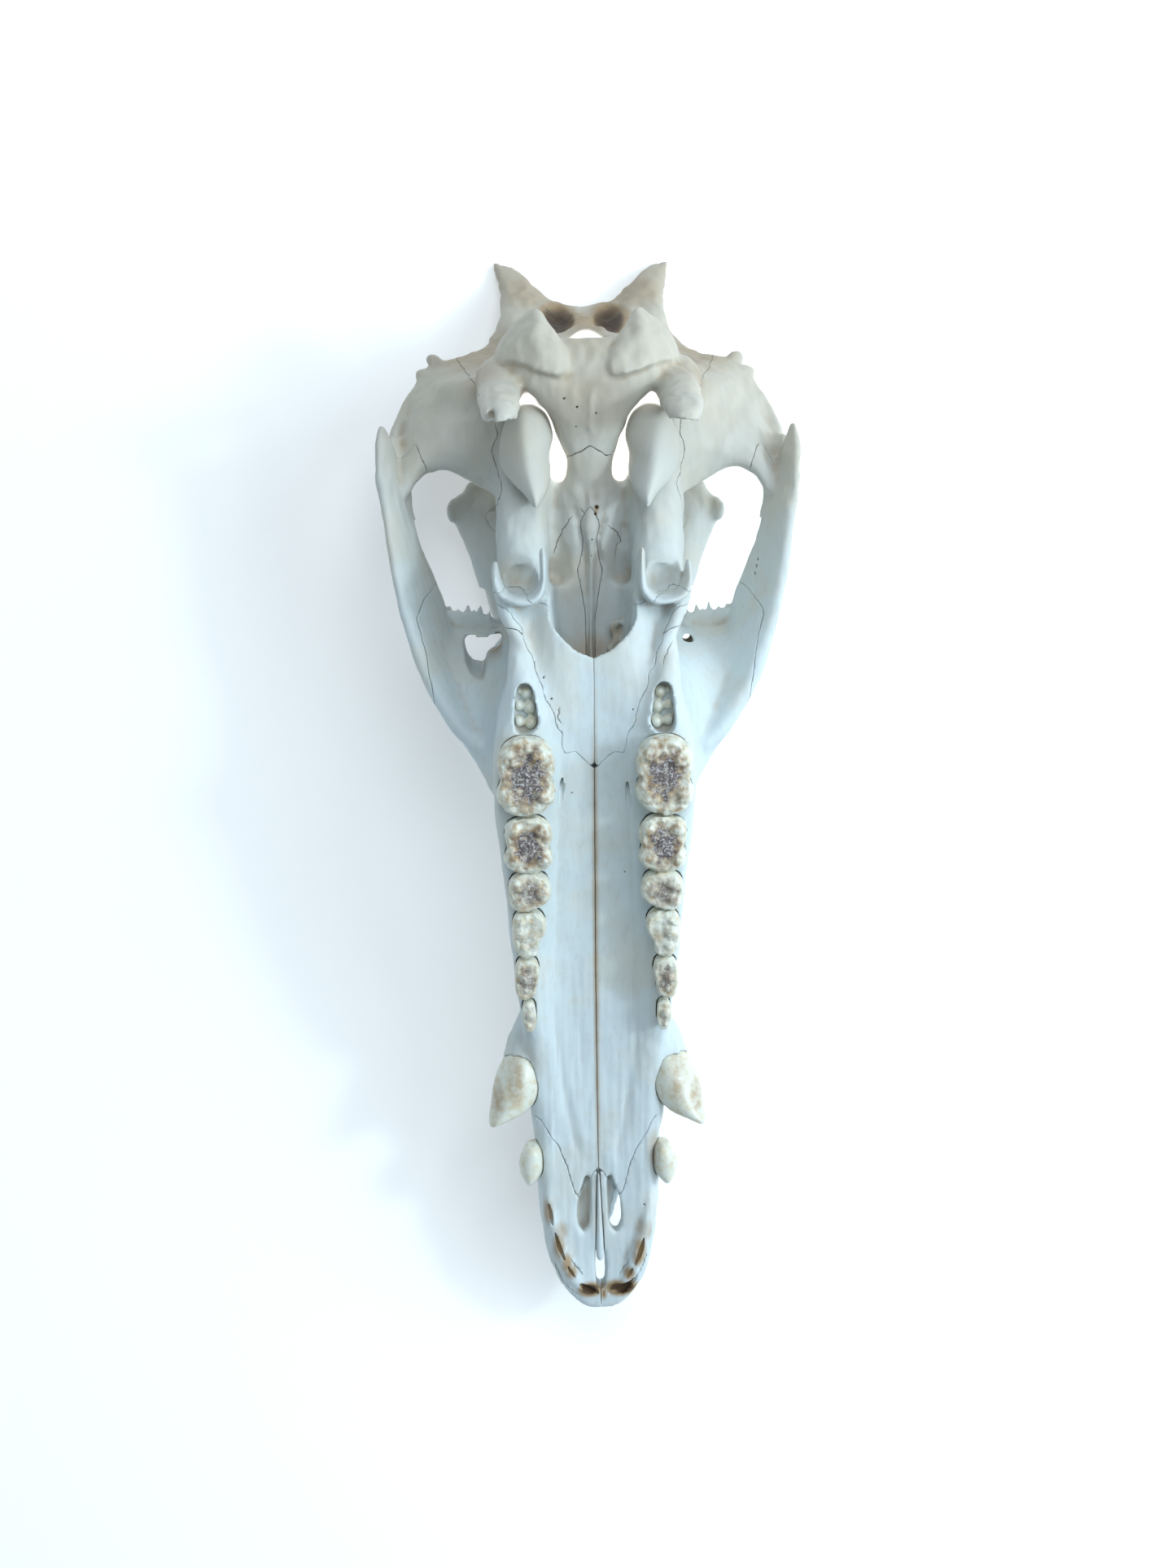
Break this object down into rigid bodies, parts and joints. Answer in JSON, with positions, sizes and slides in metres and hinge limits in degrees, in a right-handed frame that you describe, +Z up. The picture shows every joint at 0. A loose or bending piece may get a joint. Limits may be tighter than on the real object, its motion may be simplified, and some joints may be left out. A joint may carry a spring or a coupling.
{
  "type": "wild boar skull",
  "caption": "Life-size cranium of a wild boar without its lower jaw, lying palate up, its bones parted at the sutures.",
  "frame": {"origin": "Middle of the bounding box's base, on the floor that the skull lies on.", "axes": "+Z up, out of the palate side; the snout points along -Y and the occiput along +Y; the animal's right side is on +X, as the skull lies palate up."},
  "size_m": [0.126, 0.3292, 0.1031],
  "materials": {
    "bone": "dry cleaned bone, matte, slightly porous",
    "tooth": "worn enamel, satin"
  },
  "bodies": {
    "root": {"occipital": "bone", "sphenoid": "bone", "vomer": "bone", "vomer_tip": "bone", "parietal": "bone", "frontal_left": "bone", "frontal_right": "bone", "nasal_left": "bone", "nasal_right": "bone", "premaxilla_left": "bone", "premaxilla_right": "bone", "maxilla_left": "bone", "maxilla_right": "bone", "palatine_left": "bone", "palatine_right": "bone", "lacrimal_left": "bone", "lacrimal_right": "bone", "zygomatic_left": "bone", "zygomatic_right": "bone", "squamosal_left": "bone", "squamosal_right": "bone", "tympanic_bulla_left": "bone", "tympanic_bulla_right": "bone", "canine_left": "tooth", "canine_right": "tooth"}
  },
  "joints": []
}
